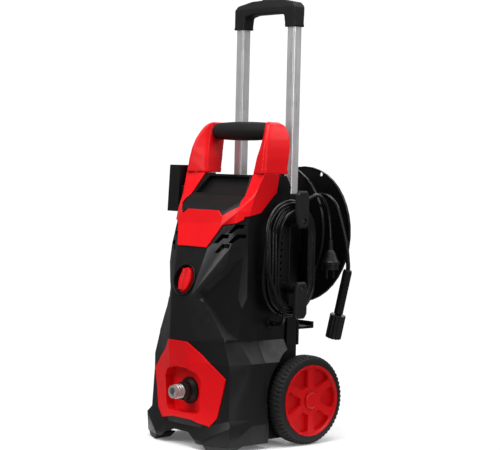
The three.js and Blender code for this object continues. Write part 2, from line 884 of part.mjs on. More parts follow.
function reel() {
  const front = -REEL_WIDTH;
  add("reel_flange_front", geometryOf(reelPlace(flange(front - 1))), "black_plastic");
  const rearFlange = flange(-4).subtract(cylinder("z", [49, -128, -10], 20, 4.5, 4.5, 16));
  add("reel_flange_rear", geometryOf(reelPlace(rearFlange)), "black_plastic");

  const drum = turned([
    [8 + GAP, front + 2 + GAP],
    [DRUM_R, front + 2 + GAP],
    [DRUM_R, -4 - GAP],
    [8 + GAP, -4 - GAP],
    [8 + GAP, front + 2 + GAP],
  ]);
  add("reel_drum", geometryOf(reelPlace(drum)), "black_plastic");

  const axle = cylinder("z", [0, 0, front - 18], REEL_WIDTH + 22, 8, 8, 24).add(
    cylinder("z", [0, 0, 2], 3, 12, 12, 24),
  );
  add("reel_axle", geometryOf(reelPlace(axle)), "black_plastic");

  // Hub cap with the crank arm, fixed on the rear flange.
  const armHub = turned([
    [0, 8],
    [20, 8],
    [18, 14],
    [0, 14],
  ]);
  const arm = skin([
    [[-12, -8], [80, -8], [92, -6], [96, 0], [92, 6], [80, 8], [-12, 8]].map(([x, y]) => [x, y, 9]),
    [[-12, -6], [80, -6], [90, -5], [94, 0], [90, 5], [80, 6], [-12, 6]].map(([x, y]) => [x, y, 14]),
  ]);
  const skirt = turned([
    [14, GAP],
    [20, GAP],
    [20, 8.2],
    [14, 8.2],
    [14, GAP],
  ]);
  const pin = cylinder("z", [84, 0, 12], 8, 4, 4, 16);
  const crank = armHub.add(arm).add(skirt).add(pin).rotate([0, 0, -60]);
  add("crank_arm", geometryOf(reelPlace(crank)), "black_plastic");

  const knob = turned([
    [4 + GAP, 14 + GAP],
    [9, 14 + GAP],
    [8, 24],
    [11, 40],
    [8, 45],
    [0, 46],
    [0, 20 + GAP],
    [4 + GAP, 20 + GAP],
    [4 + GAP, 14 + GAP],
  ], 24).translate([84, 0, 0]);
  add("crank_knob", geometryOf(reelPlace(knob.rotate([0, 0, -60]))), "black_grip");

  const coil = turned([
    [DRUM_R + GAP, front + 3],
    [HOSE_COIL_R - 3, front + 3],
    [HOSE_COIL_R, front + 6],
    [HOSE_COIL_R, -9],
    [HOSE_COIL_R - 3, -6],
    [DRUM_R + GAP, -6],
    [DRUM_R + GAP, front + 3],
  ], 32);
  add("hose_coil", geometryOf(reelPlace(coil)), "hose_black");

  // Bracket between the guide sleeves that carries the reel's axle.
  const sleeveBack = TUBE_Y + TUBE_SIZE / 2 + SLEEVE_WALL + 2 * GAP;
  const plate = frontPrism(
    [
      [-92, 380],
      [92, 380],
      [92, 450],
      [30, 456],
      [-30, 456],
      [-92, 450],
    ],
    sleeveBack,
    sleeveBack + 5,
  );
  const boss = reelPlace(cylinder("z", [0, 0, front - 30], 24, 15));
  const bore = reelPlace(cylinder("z", [0, 0, front - 18 - GAP], 40, 8 + GAP, 8 + GAP, 24));
  add("reel_bracket", geometryOf(plate.add(boss).subtract(bore)), "black_plastic");

  const ledgeEnd = sleeveBack + 58;
  const ledge = box(-80, 80, sleeveBack, ledgeEnd, 226, 232)
    .add(box(-80, 80, ledgeEnd - 6, ledgeEnd, 226, 240))
    .add(box(-92, 92, sleeveBack, sleeveBack + 5, 196, 246))
    .add(
      sidePrism(
        [
          [sleeveBack + 4, 198],
          [ledgeEnd - 10, 227],
          [sleeveBack + 4, 227],
        ],
        -4,
        4,
      ),
    );
  add("rear_ledge", geometryOf(ledge), "black_plastic");
}

// ---- cords ---------------------------------------------------------------------------------------
// Each route runs from the end held by the machine to the free end.
const HOSE_TAIL_PATH = [
  [38, 74, 496],
  [64, 74, 501],
  [94, 74, 503],
  [112, 75, 499],
  [125, 78, 489],
  [132, 80, 475],
  [140, 86, 441],
  [147, 93, 400],
  [149, 96, 372],
  [149, 97.5, 352],
];
const MAINS_START_PATH = [
  [123.3, -76, 246],
  [131, -76, 246.4],
  [142, -77, 250],
  [149.5, -80, 260],
  [152, -86, 275],
  [151.5, -95, 294],
];
const MAINS_TAIL_PATH = [
  [141, -14, 493.5],
  [140, 6, 503],
  [137, 22, 505],
  [134, 36, 497],
  [134, 46, 479],
  [136, 51, 455],
  [139, 53, 430],
  [140, 53, 414],
];

function tube(points, diameter, sides, step) {
  const curve = new THREE.CatmullRomCurve3(points.map((point) => new THREE.Vector3(...point)));
  const shape = new THREE.Shape();
  shape.absarc(0, 0, diameter / 2, 0, Math.PI * 2);
  const geometry = new THREE.ExtrudeGeometry(shape, {
    extrudePath: curve,
    steps: Math.ceil(curve.getLength() / step),
    curveSegments: sides / 2,
    bevelEnabled: false,
  });
  return solid(geometry);
}

// Turns a piece made along +Z so that it runs from one point towards another.
function aimed(manifold, from, to) {
  const direction = new THREE.Vector3(...to).sub(new THREE.Vector3(...from)).normalize();
  const turn = new THREE.Quaternion().setFromUnitVectors(new THREE.Vector3(0, 0, 1), direction);
  const matrix = new THREE.Matrix4().makeRotationFromQuaternion(turn).setPosition(...from);
  return manifold.transform(matrix.elements);
}

function hoseEnd() {
  add("hose_tail", geometryOf(tube(HOSE_TAIL_PATH, HOSE_D, 10, 22)), "hose_black");
  const end = HOSE_TAIL_PATH[HOSE_TAIL_PATH.length - 1];
  const foot = [115, 95, 215];
  const sleeveLength = 98;
  const sleeve = turned([
    [0, 1.2],
    [8, 1.2],
    [9.5, 6],
    [9.5, sleeveLength - 3],
    [7, sleeveLength],
    [0, sleeveLength],
  ], 20);
  add("hose_sleeve", geometryOf(aimed(sleeve, end, foot)), "hose_black");
  const ribs = 12;
  const outline = new THREE.Shape();
  for (let i = 0; i < ribs * 2; i += 1) {
    const radius = i % 2 === 0 ? 16.5 : 14.5;
    for (const side of [-0.7, 0.7]) {
      const angle = ((i + side * 0.5) * Math.PI) / ribs;
      const x = radius * Math.cos(angle);
      const y = radius * Math.sin(angle);
      if (i === 0 && side < 0) outline.moveTo(x, y);
      else outline.lineTo(x, y);
    }
  }
  const nutGeometry = new THREE.ExtrudeGeometry(outline, { depth: 50, bevelEnabled: false });
  const nut = solid(nutGeometry)
    .translate([0, 0, sleeveLength + GAP])
    .subtract(cylinder("z", [0, 0, sleeveLength + 12], 60, 11.5, 11.5, 24));
  add("hose_nut", geometryOf(aimed(nut, end, foot)), "black_grip");
}

// An oval in (y, z) as the outline of the wound mains lead or of the gap inside it.
function windingOutline(centreY, halfWidth, halfHeight) {
  const points = [];
  const count = 28;
  for (let i = 0; i < count; i += 1) {
    const angle = (i * 2 * Math.PI) / count;
    points.push([centreY + halfWidth * Math.cos(angle), COIL_Z + halfHeight * Math.sin(angle)]);
  }
  return points;
}

function mainsLead() {
  const coil = sidePrism(windingOutline(COIL_Y, 73, 117), 127, HOOK_PLATE_X - GAP - 1).subtract(
    sidePrism(windingOutline(HOOK_Y - 5, 27, 95), 120, 160),
  );
  add("mains_coil", geometryOf(coil), "hose_black");
  add("mains_start", geometryOf(tube(MAINS_START_PATH, MAINS_D, 8, 12)), "hose_black");
  add("mains_tail", geometryOf(tube(MAINS_TAIL_PATH, MAINS_D, 8, 16)), "hose_black");

  const end = MAINS_TAIL_PATH[MAINS_TAIL_PATH.length - 1];
  const foot = [141, 54, 345];
  const body = turned([
    [0, 1],
    [5.5, 1],
    [6.5, 22],
    [10, 26],
    [16, 42],
    [19, 46],
    [19, 52],
    [17, 53],
    [17, 62],
    [0, 62],
  ], 24);
  const pin = cylinder("z", [0, 0, 61], 19, 2.4, 2.4, 12);
  const plug = body.add(pin.translate([9.5, 0, 0])).add(pin.translate([-9.5, 0, 0]));
  add("mains_plug", geometryOf(aimed(plug, end, foot)), "hose_black");

  const wall = sideHalfWidth(GLAND_Z);
  const gland = cylinder("x", [wall - 6, GLAND_Y, GLAND_Z], 9, 8, 8, 24)
    .add(cylinder("x", [wall + GAP + 0.7, GLAND_Y, GLAND_Z], 3, 11, 10, 24))
    .add(cylinder("x", [wall + 2, GLAND_Y, GLAND_Z], 123 - wall - 2, 6, 4.6, 20));
  add("mains_gland", geometryOf(gland), "hose_black");
}

function cordHook(name, z, direction) {
  const plateEnd = HOOK_PLATE_X + HOOK_PLATE_THICKNESS;
  const outline = (grow) => [
    [HOOK_Y - 11 - grow, z - direction * (14 + grow)],
    [HOOK_Y - 16 - grow, z - direction * 4],
    [HOOK_Y - 19 - grow, z + direction * 18],
    [HOOK_Y - 19 - grow, z + direction * 52],
    [HOOK_Y - 12 - grow, z + direction * (60 + grow)],
    [HOOK_Y + 8 + grow, z + direction * (60 + grow)],
    [HOOK_Y + 15 + grow, z + direction * 50],
    [HOOK_Y + 15 + grow, z - direction * 6],
    [HOOK_Y + 9 + grow, z - direction * (14 + grow)],
  ];
  const ring = (x, grow) => outline(grow).map(([y, height]) => [x, y, height]);
  let plate = skin([
    ring(HOOK_PLATE_X, 0),
    ring(plateEnd - 3, 0),
    ring(plateEnd, -3),
  ]);
  if (plate.volume() < 0) {
    plate = skin([
      ring(HOOK_PLATE_X, 0).reverse(),
      ring(plateEnd - 3, 0).reverse(),
      ring(plateEnd, -3).reverse(),
    ]);
  }
  const post = cylinder("x", [126 + GAP, HOOK_Y, z], HOOK_PLATE_X - 126, 9, 9, 18);
  const hook = plate
    .add(post)
    .subtract(cylinder("x", [100, HOOK_Y, z], 100, 2.6, 2.6, 16))
    .subtract(cylinder("x", [plateEnd - 5, HOOK_Y, z], 20, 5.5, 5.5, 20));
  add(`cord_hook_${name}`, geometryOf(hook), "black_plastic");

  const screw = cylinder("x", [112, HOOK_Y, z], plateEnd - 5 - 112 + 1, 2.2, 2.2, 16).add(
    cylinder("x", [plateEnd - 5 + GAP, HOOK_Y, z], 3, 4.8, 4.2, 20),
  );
  add(`hook_screw_${name}`, geometryOf(screw), "steel");
}

// ---- gun holder ------------------------------------------------------------------------------------
function gunHolder() {
  const centreY = -104;
  const centreX = -148;
  const top = 558;
  const bottom = 461;
  const ring = (half, depth, z) => [
    [centreX - half, centreY - depth, z],
    [centreX + half, centreY - depth, z],
    [centreX + half, centreY + depth, z],
    [centreX - half, centreY + depth, z],
  ];
  const outer = skin([ring(18, 24, bottom), ring(17, 20, top)]);
  const bore = skin([ring(13, 18, bottom + 8), ring(14, 17, top + 1)]);
  const padBottom = 470;
  const padEnd = sideHalfWidth(515) + CLADDING + 1;
  const pad = box(-134, -padEnd, centreY - 14, centreY + 14, padBottom, 515);
  const holder = outer.add(pad).subtract(bore);
  add("gun_holder", geometryOf(holder), "black_plastic");
}

// ---- inside -------------------------------------------------------------------------------------------
function insides() {
  const place = (manifold) => manifold.translate([0, SHAFT_Y, 0]);
  const can = turned([
    [12, MOTOR_BOTTOM],
    [MOTOR_R, MOTOR_BOTTOM],
    [MOTOR_R, MOTOR_TOP - 40],
    [MOTOR_R - 8, MOTOR_TOP - 34],
    [MOTOR_R - 8, MOTOR_TOP - 30],
    [MOTOR_R - 12, MOTOR_TOP - 30],
    [MOTOR_R - 12, MOTOR_BOTTOM + 6],
    [12, MOTOR_BOTTOM + 6],
    [12, MOTOR_BOTTOM],
  ]);
  add("motor_can", geometryOf(place(can)), "motor_grey");

  const rotor = turned([
    [0, 196],
    [7, 196],
    [7, MOTOR_BOTTOM + 18],
    [34, MOTOR_BOTTOM + 18],
    [34, MOTOR_TOP - 56],
    [7, MOTOR_TOP - 56],
    [7, MOTOR_TOP - 2],
    [0, MOTOR_TOP - 2],
  ], 20);
  add("motor_rotor", geometryOf(place(rotor)), "steel");

  let fan = turned([
    [7 + GAP, MOTOR_TOP - 26],
    [44, MOTOR_TOP - 26],
    [44, MOTOR_TOP - 23],
    [12, MOTOR_TOP - 23],
    [12, MOTOR_TOP - 6],
    [7 + GAP, MOTOR_TOP - 6],
    [7 + GAP, MOTOR_TOP - 26],
  ], 24);
  const blades = 7;
  for (let i = 0; i < blades; i += 1) {
    const blade = box(11, 42, -1, 1, MOTOR_TOP - 24, MOTOR_TOP - 8);
    fan = fan.add(blade.rotate([0, 0, (i * 360) / blades]));
  }
  add("motor_fan", geometryOf(place(fan)), "nylon");

  const wobbleBlank = cylinder("z", [0, 0, 186], 26, 30, 30, 24).subtract(
    cylinder("z", [0, 0, 194], 40, 7 + GAP, 7 + GAP, 20),
  );
  const slope = sidePrism([[-60, 170], [60, 170], [60, 193], [-60, 185]], -60, 60);
  add("wobble_plate", geometryOf(place(wobbleBlank.subtract(slope))), "steel");

  const pumpBody = cylinder("z", [0, 0, 146], 79, 46, 46, 28)
    .subtract(cylinder("z", [0, 0, 160], 80, 36, 36, 28));
  let body = pumpBody;
  const pistonCount = 3;
  const pistonRing = 22;
  const pistonAngles = Array.from({ length: pistonCount }, (_, i) => 30 + i * 120);
  for (const angle of pistonAngles) {
    body = body.subtract(
      cylinder("z", [pistonRing, 0, 140], 40, 6 + GAP, 6 + GAP, 12).rotate([0, 0, angle]),
    );
  }
  add("pump_body", geometryOf(place(body)), "motor_grey");

  pistonAngles.forEach((angle, i) => {
    const piston = cylinder("z", [pistonRing, 0, 140], 42, 6, 6, 12).rotate([0, 0, angle]);
    add(`piston_${i + 1}`, geometryOf(place(piston)), "steel");
  });

  let head = cylinder("z", [0, 0, 84], 62 - GAP, 44, 44, 28);
  for (const angle of pistonAngles) {
    head = head.subtract(
      cylinder("z", [pistonRing, 0, 132], 30, 6 + GAP, 6 + GAP, 12).rotate([0, 0, angle]),
    );
  }
  const outletPort = cylinder("y", [0, -64, OUTLET_Z], 30, 17);
  const outletBore = cylinder("y", [0, -70, OUTLET_Z], 24, 11 + GAP, 11 + GAP, 20);
  const inletPort = cylinder("y", [0, 30, 118], 44, 13, 13, 20);
  const headPiece = head.add(outletPort).subtract(outletBore).add(inletPort);
  add("pump_head", geometryOf(place(headPiece)), "motor_grey");

  const inlet = turned([
    [0, -14],
    [11, -14],
    [11, 8],
    [16, 8],
    [16, 20],
    [12.5, 21],
    [12.5, 34],
    [7, 34],
    [7, -8],
    [0, -8],
  ], 22)
    .rotate([-90, 0, 0])
    .translate([0, REAR_Y, INLET_Z]);
  add("inlet_connector", geometryOf(inlet), "nylon");
}

// ---- assembly ----------------------------------------------------------------------------------------
housing();
const tray = trayBlock(0)
  .subtract(trayBlock(0.6 - WALL))
  .intersect(frontBody(0, 60, BOTTOM_Z, TOP_Z));
add("top_tray", geometryOf(tray), "black_plastic");
const yoke = frontBody(-CLADDING, 0, BOTTOM_Z, TOP_Z + CLADDING)
  .add(rearBody(-CLADDING, -0.5, BOTTOM_Z, TOP_Z + CLADDING))
  .subtract(frontBody(-GAP, 1, BOTTOM_Z - 5, TOP_Z + GAP))
  .subtract(rearBody(-GAP, -1, BOTTOM_Z - 5, TOP_Z + GAP))
  .intersect(yokeMask());
add("red_yoke", geometryOf(yoke), "red_plastic");
carryHandle();
controls();
outlet();
telescopicHandle();
runningGear();
reel();
hoseEnd();
mainsLead();
cordHook("upper", HOOK_UPPER_Z, 1);
cordHook("lower", HOOK_LOWER_Z, -1);
gunHolder();
insides();
washer.position.set(-CENTRE_X, -CENTRE_Y, 0);

export default washer;
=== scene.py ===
"""Looks of an upright electric pressure washer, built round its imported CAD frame."""

import json
import math

import bmesh
import bpy
from mathutils import Matrix, Vector


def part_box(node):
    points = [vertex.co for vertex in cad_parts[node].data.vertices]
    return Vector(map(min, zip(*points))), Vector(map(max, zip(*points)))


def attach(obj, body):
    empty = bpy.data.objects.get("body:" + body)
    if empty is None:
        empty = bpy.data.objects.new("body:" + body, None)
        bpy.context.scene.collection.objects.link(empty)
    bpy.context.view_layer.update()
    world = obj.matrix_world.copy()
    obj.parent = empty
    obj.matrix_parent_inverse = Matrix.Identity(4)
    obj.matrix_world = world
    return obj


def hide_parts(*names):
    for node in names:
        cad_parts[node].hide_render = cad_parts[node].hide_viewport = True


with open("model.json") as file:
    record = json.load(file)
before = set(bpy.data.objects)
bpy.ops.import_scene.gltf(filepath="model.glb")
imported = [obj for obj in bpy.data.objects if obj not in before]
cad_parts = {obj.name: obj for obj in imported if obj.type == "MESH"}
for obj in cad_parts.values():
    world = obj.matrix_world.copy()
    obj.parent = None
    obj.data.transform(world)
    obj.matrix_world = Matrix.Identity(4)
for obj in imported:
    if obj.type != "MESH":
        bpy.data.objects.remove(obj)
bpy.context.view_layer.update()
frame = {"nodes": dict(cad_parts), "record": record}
BODY_OF = {
    node: body
    for body, nodes in frame["record"]["behaviour"]["bodies"].items()
    for node in nodes
}

# ---- driving dimensions, in millimetres from the point below the wheel axle's middle ---------
SHIFT = Vector((5, 41.5, 0))  # from that point to the frame's origin
MM = 0.001

WHEEL_R = 90
HUB_R = 72
HUB_FACE_X = 152.5
TYRE_WIDTH = 42

REEL_Y = 108.4
REEL_Z = 417
REEL_WIDTH = 79
REEL_TILT = 3.1
HOSE_D = 9
HOSE_LAYERS = [(59.8, 6.7), (67.8, 6.7), (75.8, 5.4)]  # radius and number of turns
LAYER_STEP = 8
HOSE_END_ALONG = -36  # where the outermost layer ends, along the reel's axis

MAINS_D = 7.5
MAINS_TURNS = 9
MAINS_FIRST = 0.70  # starts on the -Y strand, below the middle, going up
COIL_X = 138.3  # the front strands
COIL_Y = -47.5
COIL_Z = 377
COIL_OUTER_SHIFT = 6  # how far the outermost turn's middle lies behind COIL_Y, towards -Y
COIL_REAR_SHIFT = 6.7  # how far the rear strands of the inner turns lie towards +Y
OUTER_HALF_WIDTH, OUTER_STRAIGHT = 69, 45
INNER_HALF_WIDTH, INNER_STRAIGHT = 42, 55
LEAD_IN_X, LEAD_OUT_X = 146, 144.4


def at(x, y, z):
    """A point in the frame, in metres."""
    return (Vector((x, y, z)) + SHIFT) * MM


def link(name, data):
    piece = bpy.data.objects.new(name, data)
    bpy.context.scene.collection.objects.link(piece)
    return piece


# ---- camera ------------------------------------------------------------------------------------
def make_camera():
    azimuth, pitch, roll = map(math.radians, (48.3, 2.4, 1.32))
    forward = Vector(
        (
            -math.sin(azimuth) * math.cos(pitch),
            math.cos(azimuth) * math.cos(pitch),
            -math.sin(pitch),
        )
    )
    level = Vector((math.cos(azimuth), math.sin(azimuth), 0))
    upright = level.cross(forward)
    right = level * math.cos(roll) + upright * math.sin(roll)
    up = upright * math.cos(roll) - level * math.sin(roll)
    camera = link("camera", bpy.data.cameras.new("camera"))
    matrix = Matrix((right, up, -forward)).transposed().to_4x4()
    matrix.translation = at(2367, -2150.5, 570.4)
    camera.matrix_world = matrix
    camera.data.sensor_width = 36
    camera.data.lens = 110.88
    camera.data.clip_end = 60
    bpy.context.scene.camera = camera


make_camera()


# ---- material helpers --------------------------------------------------------------------------
def new_material(name, colour, roughness, metallic=0.0, specular=0.5):
    material = bpy.data.materials.new(name)
    material.use_nodes = True
    shader = material.node_tree.nodes["Principled BSDF"]
    shader.inputs["Base Color"].default_value = (*colour, 1)
    shader.inputs["Roughness"].default_value = roughness
    shader.inputs["Metallic"].default_value = metallic
    shader.inputs["Specular IOR Level"].default_value = specular
    return material, material.node_tree, shader


def noise(tree, scale, detail=3.0, stretch=(1, 1, 1)):
    """Noise over the object's own coordinates, in metres; stretch scales each axis."""
    place = tree.nodes.new("ShaderNodeTexCoord")
    mapping = tree.nodes.new("ShaderNodeMapping")
    mapping.inputs["Scale"].default_value = stretch
    texture = tree.nodes.new("ShaderNodeTexNoise")
    texture.inputs["Scale"].default_value = scale
    texture.inputs["Detail"].default_value = detail
    tree.links.new(place.outputs["Object"], mapping.inputs["Vector"])
    tree.links.new(mapping.outputs["Vector"], texture.inputs["Vector"])
    return texture.outputs["Fac"]


def spread(tree, value, low, high):
    """The value's middle range mapped onto low to high."""
    mapping = tree.nodes.new("ShaderNodeMapRange")
    mapping.inputs["From Min"].default_value = 0.3
    mapping.inputs["From Max"].default_value = 0.7
    mapping.inputs["To Min"].default_value = low
    mapping.inputs["To Max"].default_value = high
    tree.links.new(value, mapping.inputs["Value"])
    return mapping.outputs["Result"]


def tint(tree, value, first, second):
    mix = tree.nodes.new("ShaderNodeMix")
    mix.data_type = "RGBA"
    mix.inputs["A"].default_value = (*first, 1)
    mix.inputs["B"].default_value = (*second, 1)
    tree.links.new(value, mix.inputs["Factor"])
    return mix.outputs["Result"]


def bump(tree, shader, height, distance, strength=1.0):
    node = tree.nodes.new("ShaderNodeBump")
    node.inputs["Distance"].default_value = distance
    node.inputs["Strength"].default_value = strength
    tree.links.new(height, node.inputs["Height"])
    tree.links.new(node.outputs["Normal"], shader.inputs["Normal"])


def moulded(name, colour, roughness, grain=900, depth=0.00004, specular=0.5, vary=0.15):
    """Moulded plastic: fine grain, slightly uneven gloss and colour."""
    material, tree, shader = new_material(name, colour, roughness, specular=specular)
    cloud = noise(tree, 14)
    lighter = tuple(min(1, c * (1 + vary)) for c in colour)
    darker = tuple(c * (1 - vary) for c in colour)
    tree.links.new(
        tint(tree, spread(tree, cloud, 0, 1), darker, lighter), shader.inputs["Base Color"]
    )
    tree.links.new(
        spread(tree, noise(tree, 60), roughness - 0.04, roughness + 0.05),
        shader.inputs["Roughness"],
    )
    bump(tree, shader, noise(tree, grain, 2), depth, 0.5)
    return material


def metal(name, colour, roughness, stretch, grain=400, depth=0.00002, metallic=1.0):
    """Drawn or turned metal: fine lines along one direction."""
    material, tree, shader = new_material(name, colour, roughness, metallic)
    lines = noise(tree, grain, 4, stretch)
    tree.links.new(
        spread(tree, lines, roughness - 0.06, roughness + 0.08), shader.inputs["Roughness"]
    )
    dull = tuple(c * 0.82 for c in colour)
    tree.links.new(
        tint(tree, spread(tree, noise(tree, 22), 0, 1), dull, colour), shader.inputs["Base Color"]
    )
    bump(tree, shader, lines, depth, 0.6)
    return material


MATERIALS = {
    "black_housing": moulded("black_housing", (0.006, 0.006, 0.0065), 0.36, specular=0.28),
    "switch_black": moulded("switch_black", (0.02, 0.02, 0.02), 0.5),
    "red_cladding": moulded(
        "red_cladding", (0.80, 0.005, 0.009), 0.34, 1400, 0.00002, specular=0.18, vary=0.04
    ),
    "red_knob": moulded(
        "red_knob", (0.80, 0.005, 0.009), 0.28, 1400, 0.00001, specular=0.25, vary=0.03
    ),
    "red_hub": moulded(
        "red_hub", (0.56, 0.003, 0.005), 0.38, 1400, 0.00002, specular=0.2, vary=0.05
    ),
    "black_grip": moulded("black_grip", (0.010, 0.010, 0.010), 0.5, 1600, 0.00006, specular=0.25),
    "foot_rubber": moulded("foot_rubber", (0.02, 0.02, 0.02), 0.75, 700, 0.00008),
    "collar_rubber": moulded(
        "collar_rubber", (0.007, 0.007, 0.007), 0.5, 900, 0.00005, specular=0.3
    ),
    "tyre_black": moulded("tyre_black", (0.010, 0.010, 0.010), 0.6, 500, 0.00012, specular=0.25),
    "reel_black": moulded("reel_black", (0.005, 0.005, 0.005), 0.36, 800, 0.00004, specular=0.2),
    "hook_black": moulded("hook_black", (0.012, 0.012, 0.013), 0.45, 700, 0.00006, specular=0.25),
    "hose_rubber": moulded("hose_rubber", (0.005, 0.005, 0.005), 0.26, 500, 0.00002, specular=0.35),
    "hose_sleeve_black": moulded("hose_sleeve_black", (0.007, 0.007, 0.007), 0.4, specular=0.25),
    "hose_nut_black": moulded(
        "hose_nut_black", (0.016, 0.016, 0.016), 0.45, 700, 0.00006, specular=0.3
    ),
    "cable_rubber": moulded(
        "cable_rubber", (0.004, 0.004, 0.005), 0.22, 500, 0.00002, specular=0.35
    ),
    "plug_rubber": moulded("plug_rubber", (0.006, 0.006, 0.006), 0.4, 700, 0.00004, specular=0.3),
    "button_grey": moulded("button_grey", (0.05, 0.05, 0.052), 0.5),
    "nylon": moulded("nylon", (0.62, 0.60, 0.55), 0.45),
    "tube_aluminium": metal(
        "tube_aluminium", (0.9, 0.9, 0.91), 0.32, (1, 1, 0.03), metallic=0.7
    ),
    "outlet_metal": metal(
        "outlet_metal", (0.52, 0.51, 0.50), 0.34, (0.2, 1, 0.2), metallic=0.6
    ),
    "axle_steel": metal("axle_steel", (0.55, 0.55, 0.56), 0.35, (0.03, 1, 1)),
    "screw_steel": metal("screw_steel", (0.1, 0.1, 0.1), 0.4, (1, 1, 1)),
    "motor_metal": metal("motor_metal", (0.4, 0.41, 0.42), 0.45, (1, 1, 0.1)),
    "shaft_steel": metal("shaft_steel", (0.6, 0.6, 0.6), 0.3, (1, 1, 0.05)),
}

SLOT_NODES = {
    "black_housing": """front_shell rear_shell base_plate knob_bezel gun_holder rear_ledge
        guide_sleeve_left guide_sleeve_right reel_bracket top_tray""",
    "switch_black": "switch_body",
    "red_cladding": "red_yoke outlet_panel carry_handle_frame",
    "red_knob": "knob",
    "red_hub": "hub_left hub_right hub_cap_left hub_cap_right",
    "black_grip": "carry_handle_grip telescopic_grip crank_knob",
    "foot_rubber": "foot_left foot_right",
    "collar_rubber": "outlet_collar",
    "outlet_metal": "outlet_connector",
    "tube_aluminium": "tube_left tube_right",
    "button_grey": "release_button",
    "tyre_black": "tyre_left tyre_right",
    "axle_steel": "axle",
    "reel_black": "reel_flange_front reel_flange_rear reel_drum reel_axle crank_arm",
    "hook_black": "cord_hook_upper cord_hook_lower",
    "screw_steel": "hook_screw_upper hook_screw_lower",
    "hose_rubber": "hose_coil hose_tail",
    "hose_sleeve_black": "hose_sleeve",
    "hose_nut_black": "hose_nut",
    "cable_rubber": "mains_coil mains_start mains_tail mains_gland",
    "plug_rubber": "mains_plug",
    "motor_metal": "motor_can pump_body pump_head",
    "shaft_steel": "motor_rotor wobble_plate piston_1 piston_2 piston_3",
    "nylon": "motor_fan inlet_connector",
}
SLOT_OF = {node: slot for slot, nodes in SLOT_NODES.items() for node in nodes.split()}


# ---- cords ---------------------------------------------------------------------------------------
def smooth_route(points, step):
    """Points every `step` along a centripetal curve through the given ones."""
    ends = [points[0] * 2 - points[1], *points, points[-1] * 2 - points[-2]]
    route = []
    for a, b, c, d in zip(ends, ends[1:], ends[2:], ends[3:]):
        knots = [0.0]
        for start, end in ((a, b), (b, c), (c, d)):
            knots.append(knots[-1] + math.sqrt((end - start).length))
        k0, k1, k2, k3 = knots
        count = max(2, round((c - b).length / step))
        for i in range(count):
            t = k1 + (k2 - k1) * i / count
            first = a.lerp(b, (t - k0) / (k1 - k0))
            second = b.lerp(c, (t - k1) / (k2 - k1))
            third = c.lerp(d, (t - k2) / (k3 - k2))
            left = first.lerp(second, (t - k0) / (k2 - k0))
            right = second.lerp(third, (t - k1) / (k3 - k1))
            route.append(left.lerp(right, (t - k1) / (k2 - k1)))
    return [*route, points[-1]]


def length_of(points):
    return sum((b - a).length for a, b in zip(points, points[1:]))


def cord_piece(name, points, diameter, slot):
    """A round cord through the points, which are in the frame, in metres."""
    curve = bpy.data.curves.new(name, "CURVE")
    curve.dimensions = "3D"
    curve.bevel_depth = diameter * MM / 2
    curve.bevel_resolution = 4
    curve.use_fill_caps = True
    spline = curve.splines.new("POLY")
    spline.points.add(len(points) - 1)
    for knot, point in zip(spline.points, points):
        knot.co = (*point, 1)
    spline.use_smooth = True
    curve.materials.append(MATERIALS[slot])
    piece = link(name, curve)
    return piece


GLAND_TIP = (123, -76, 246)
MAINS_START_PATH = [
    GLAND_TIP,
    (132, -76.3, 247.2),
    (140, -77, 250.5),
    (147, -78.5, 256.5),
    (152, -81, 265),
    (154, -85, 276),
    (153, -93, 291),
    (150, -106, 313),
]
MAINS_TAIL_PATH = [
    (141, -14, 494),
    (140, -2, 500),
    (138, 14, 503),
    (136, 30, 498.5),
    (134.5, 42.5, 486),
    (135, 49.5, 469),
    (137, 52.5, 446),
    (140, 53, 414),
]
HOSE_TAIL_PATH = [
    (38, 74, 496),
    (64, 74, 501),
    (91, 74, 502.8),
    (107, 75, 500.5),
    (120.5, 77, 492.8),
    (130, 79.5, 480),
    (135, 82, 464),
    (141, 87, 437),
    (147, 93, 400),
    (149, 96, 372),
    (149, 97.5, 352),
    (144.2, 97.1, 332.6),  # inside the end sleeve
]


def eased(value):
    """0 to 1 with a soft start and stop, held at both ends."""
    return 0.5 - 0.5 * math.cos(math.pi * min(1.0, max(0.0, value)))


def round_the_hooks(share, half_width, straight):
    """A place round an upright loop with round ends: 0 is its top, going towards +Y first."""
    bend = math.pi * half_width
    run = (share % 1) * 2 * (bend + 2 * straight)
    half, rest = divmod(run, bend + 2 * straight)
    side = 1 - 2 * half
    if rest < bend / 2:
        angle = rest / half_width
        y, z = half_width * math.sin(angle), straight + half_width * math.cos(angle)
    elif rest < bend / 2 + 2 * straight:
        y, z = half_width, straight - (rest - bend / 2)
    else:
        angle = (rest - bend / 2 - 2 * straight) / half_width
        y, z = half_width * math.cos(angle), -straight - half_width * math.sin(angle)
    return side * y, side * z


def winding():
    """The mains lead round its two hooks, spiralling inwards in pairs of strands."""
    turns = MAINS_TURNS - MAINS_FIRST
    steps = 56 * MAINS_TURNS
    points = []
    for i in range(steps + 1):
        turn = MAINS_FIRST + turns * i / steps
        pair = turn // 2 + eased((turn % 2 - 1.5) / 0.5)
        out = max(0, 1 - pair / (MAINS_TURNS / 2 - 1))
        layer = (turn // 1 + eased((turn % 1 - 0.7) / 0.3)) % 2
        back = layer if layer <= 1 else 2 - layer
        half_width = INNER_HALF_WIDTH + (OUTER_HALF_WIDTH - INNER_HALF_WIDTH) * out
        straight = INNER_STRAIGHT + (OUTER_STRAIGHT - INNER_STRAIGHT) * out
        y, z = round_the_hooks(turn, half_width, straight)
        y += 1.6 * math.sin(turn * 5.3) * abs(y) / half_width  # hand-wound, not quite even
        y += COIL_Y - COIL_OUTER_SHIFT * out + COIL_REAR_SHIFT * back * (1 - out)
        x = COIL_X - MAINS_D * back
        x += (LEAD_IN_X - x) * eased((MAINS_FIRST + 0.4 - turn) / 0.4)
        x += (LEAD_OUT_X - x) * eased((turn - MAINS_FIRST - turns + 0.3) / 0.3)
        points.append(Vector((x, y, COIL_Z + z)))
    return points


